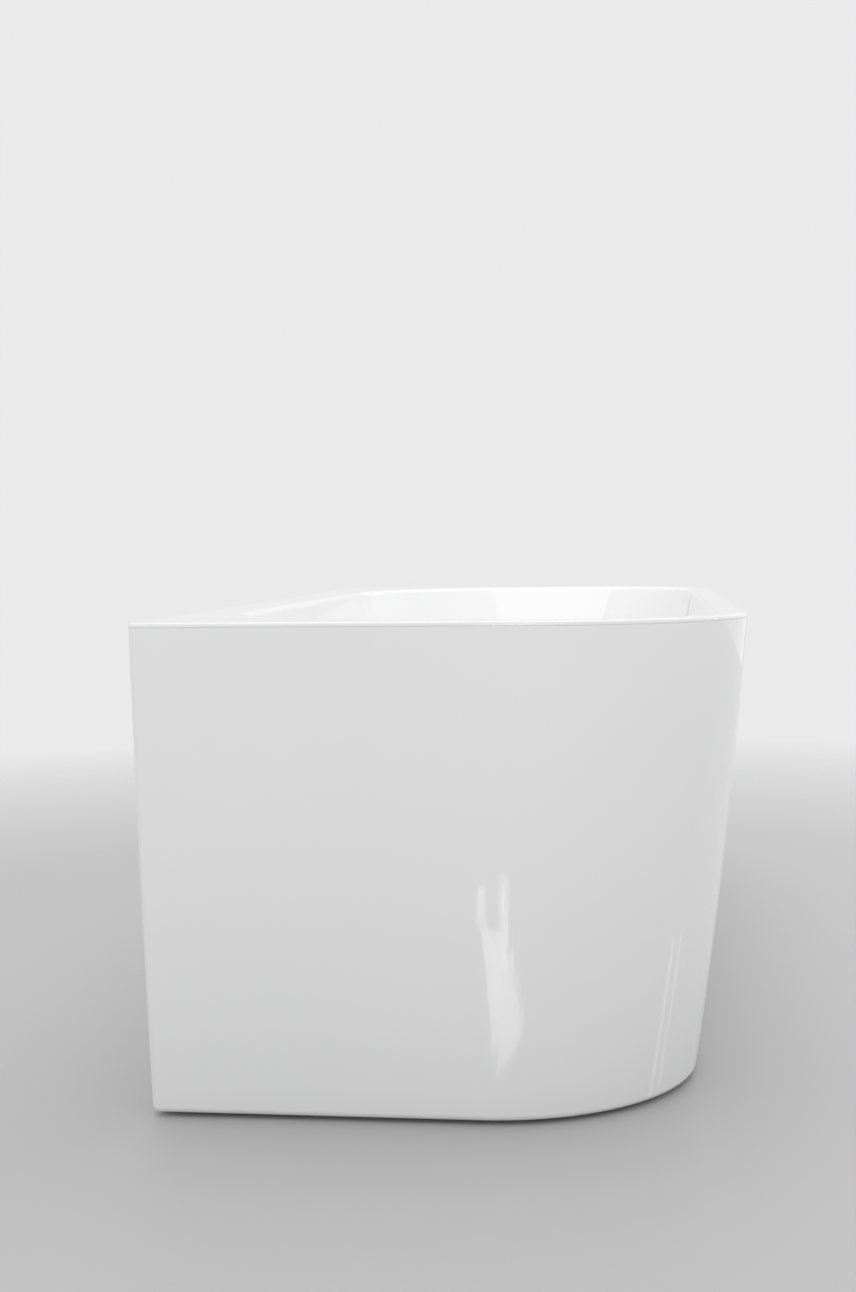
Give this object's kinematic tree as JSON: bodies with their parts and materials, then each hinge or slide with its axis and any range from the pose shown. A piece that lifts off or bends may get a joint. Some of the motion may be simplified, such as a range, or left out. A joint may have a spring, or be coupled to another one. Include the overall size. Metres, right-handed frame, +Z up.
{
  "type": "corner bathtub",
  "caption": "Acrylic bath with a flat wall side, square wall corners and a rounded front, standing on screw feet under its skirt, with a click plug and an overflow.",
  "frame": {"origin": "on the floor, under the middle of the bath, with the feet screwed right in", "axes": "+X from the flat wall side to the rounded front, +Y along the bath from the end with the narrow deck to the end with the wide deck, +Z up"},
  "size_m": [0.7495, 1.7, 0.605],
  "materials": {
    "white_acrylic": "high-gloss cast acrylic sheet, smooth",
    "plywood": "raw plywood, sawn edges",
    "zinc_steel": "bright zinc plating",
    "black_plastic": "fine moulded grain",
    "white_plastic": "satin moulded plastic",
    "rubber": "matte moulded rubber",
    "chrome": "polished chrome plating",
    "brass": "turned brass"
  },
  "bodies": {
    "bath": {"inner_shell": "white_acrylic", "outer_skirt": "white_acrylic", "base_board": "plywood", "rim_strips": "plywood", "skirt_battens": "plywood", "frame_rails": "zinc_steel", "cross_bars": "zinc_steel", "skirt_brackets": "zinc_steel", "bracket_wood_screws": "zinc_steel", "bracket_tube_screws": "zinc_steel", "board_screws": "zinc_steel", "foot_nuts": "zinc_steel", "foot_lock_nuts": "zinc_steel", "tube_caps": "black_plastic", "waste_body": "white_plastic", "overflow_elbow": "white_plastic", "overflow_pipe": "white_plastic", "pipe_nuts": "white_plastic", "waste_top_gasket": "rubber", "waste_lower_gasket": "rubber", "overflow_seal": "rubber", "pipe_seals": "rubber", "waste_flange": "chrome", "overflow_ring": "chrome", "overflow_cover": "chrome", "click_cartridge": "brass"},
    "plug": {"plug_cap": "chrome", "plug_seal": "rubber", "plug_spindle": "brass"},
    "foot_1": {"foot_pad_1": "black_plastic"},
    "stud_1": {"foot_stud_1": "zinc_steel"},
    "foot_2": {"foot_pad_2": "black_plastic"},
    "stud_2": {"foot_stud_2": "zinc_steel"},
    "foot_3": {"foot_pad_3": "black_plastic"},
    "stud_3": {"foot_stud_3": "zinc_steel"},
    "foot_4": {"foot_pad_4": "black_plastic"},
    "stud_4": {"foot_stud_4": "zinc_steel"},
    "foot_5": {"foot_pad_5": "black_plastic"},
    "stud_5": {"foot_stud_5": "zinc_steel"},
    "foot_6": {"foot_pad_6": "black_plastic"},
    "stud_6": {"foot_stud_6": "zinc_steel"}
  },
  "joints": [
    {"name": "plug_lift", "type": "slide", "parent": "bath", "child": "plug", "axis": [0, 0, 1], "range_m": [-0.009, 0], "stiffness_N_per_m": 1100, "springref_m": 0.009},
    {"name": "foot_1_lift", "type": "slide", "parent": "bath", "child": "foot_1", "axis": [0, 0, -1], "range_m": [0, 0.01575]},
    {"name": "foot_1_turn", "type": "hinge", "parent": "foot_1", "child": "stud_1", "pos_m": [-0.29188, -0.501, 0], "axis": [0, 0, -1], "range_deg": [0, 3241]},
    {"name": "foot_2_lift", "type": "slide", "parent": "bath", "child": "foot_2", "axis": [0, 0, -1], "range_m": [0, 0.01575]},
    {"name": "foot_2_turn", "type": "hinge", "parent": "foot_2", "child": "stud_2", "pos_m": [0.24546, -0.501, 0], "axis": [0, 0, -1], "range_deg": [0, 3241]},
    {"name": "foot_3_lift", "type": "slide", "parent": "bath", "child": "foot_3", "axis": [0, 0, -1], "range_m": [0, 0.01575]},
    {"name": "foot_3_turn", "type": "hinge", "parent": "foot_3", "child": "stud_3", "pos_m": [-0.29188, 0.079, 0], "axis": [0, 0, -1], "range_deg": [0, 3241]},
    {"name": "foot_4_lift", "type": "slide", "parent": "bath", "child": "foot_4", "axis": [0, 0, -1], "range_m": [0, 0.01575]},
    {"name": "foot_4_turn", "type": "hinge", "parent": "foot_4", "child": "stud_4", "pos_m": [0.24546, 0.079, 0], "axis": [0, 0, -1], "range_deg": [0, 3241]},
    {"name": "foot_5_lift", "type": "slide", "parent": "bath", "child": "foot_5", "axis": [0, 0, -1], "range_m": [0, 0.01575]},
    {"name": "foot_5_turn", "type": "hinge", "parent": "foot_5", "child": "stud_5", "pos_m": [-0.29188, 0.399, 0], "axis": [0, 0, -1], "range_deg": [0, 3241]},
    {"name": "foot_6_lift", "type": "slide", "parent": "bath", "child": "foot_6", "axis": [0, 0, -1], "range_m": [0, 0.01575]},
    {"name": "foot_6_turn", "type": "hinge", "parent": "foot_6", "child": "stud_6", "pos_m": [0.24546, 0.399, 0], "axis": [0, 0, -1], "range_deg": [0, 3241]}
  ],
  "couplings": [
    {"joint": "foot_1_turn", "follows": "foot_1_lift", "rad_per_m": 3590.4},
    {"joint": "foot_2_turn", "follows": "foot_2_lift", "rad_per_m": 3590.4},
    {"joint": "foot_3_turn", "follows": "foot_3_lift", "rad_per_m": 3590.4},
    {"joint": "foot_4_turn", "follows": "foot_4_lift", "rad_per_m": 3590.4},
    {"joint": "foot_5_turn", "follows": "foot_5_lift", "rad_per_m": 3590.4},
    {"joint": "foot_6_turn", "follows": "foot_6_lift", "rad_per_m": 3590.4}
  ]
}
